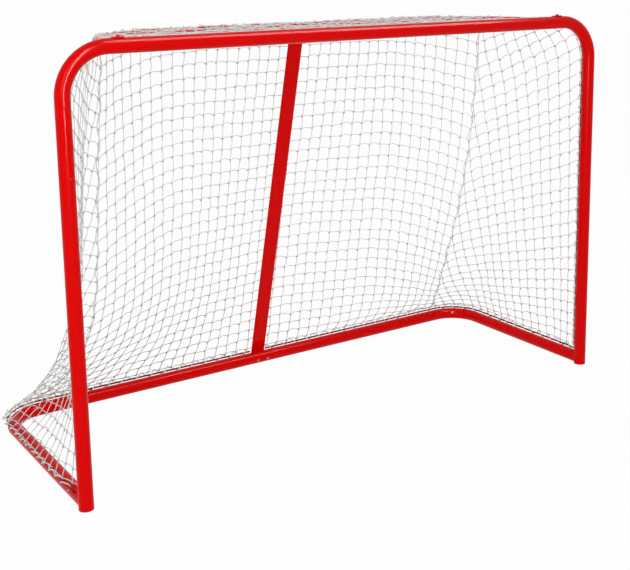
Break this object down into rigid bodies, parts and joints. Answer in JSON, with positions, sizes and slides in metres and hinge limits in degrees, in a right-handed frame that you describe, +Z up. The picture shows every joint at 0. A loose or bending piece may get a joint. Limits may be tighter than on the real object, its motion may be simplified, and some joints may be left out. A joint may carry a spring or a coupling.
{
  "type": "ice hockey goal",
  "caption": "Ice hockey goal: bent steel tube frame with posts, crossbar, ground tubes and a top shelf bar, and a laced net over the sides, back and roof.",
  "frame": {"origin": "middle of the footprint, on the ground", "axes": "+X along the goal line to the right as a shooter sees it, +Y from the mouth to the back of the net, +Z up"},
  "size_m": [1.946, 0.761, 1.2677],
  "materials": {
    "red_paint": "gloss",
    "zinc": "zinc plated",
    "screw_steel": "dark, satin",
    "plug_plastic": "satin",
    "net_twine": "knotted twine",
    "lacing_cord": "braided cord"
  },
  "bodies": {
    "root": {"left_post": "red_paint", "right_post": "red_paint", "left_top_corner": "red_paint", "right_top_corner": "red_paint", "crossbar": "red_paint", "left_base_arm": "red_paint", "right_base_arm": "red_paint", "left_back_tube": "red_paint", "right_back_tube": "red_paint", "left_shelf_bar": "red_paint", "right_shelf_bar": "red_paint", "left_shelf_bracket": "red_paint", "right_shelf_bracket": "red_paint", "centre_bar": "red_paint", "left_post_sleeve": "zinc", "right_post_sleeve": "zinc", "left_crossbar_sleeve": "zinc", "right_crossbar_sleeve": "zinc", "left_base_sleeve": "zinc", "right_base_sleeve": "zinc", "base_centre_sleeve": "zinc", "shelf_sleeve": "zinc", "left_foot_plug": "plug_plastic", "right_foot_plug": "plug_plastic", "left_post_rod": "red_paint", "right_post_rod": "red_paint", "crossbar_rod": "red_paint", "left_base_rod": "red_paint", "right_base_rod": "red_paint", "left_back_rod": "red_paint", "right_back_rod": "red_paint", "left_net": "net_twine", "right_net": "net_twine", "back_net": "net_twine", "roof_net": "net_twine", "left_post_lacing": "lacing_cord", "right_post_lacing": "lacing_cord", "crossbar_lacing": "lacing_cord", "left_base_lacing": "lacing_cord", "right_base_lacing": "lacing_cord", "left_back_lacing": "lacing_cord", "right_back_lacing": "lacing_cord", "left_shelf_lacing": "lacing_cord", "right_shelf_lacing": "lacing_cord", "post_screws": "red_paint", "crossbar_screws": "red_paint", "base_corner_screws": "red_paint", "shelf_leg_screws": "red_paint", "shelf_centre_screws": "screw_steel", "bracket_bolts": "red_paint", "base_centre_bolts": "screw_steel", "base_centre_nuts": "screw_steel"}
  },
  "joints": []
}
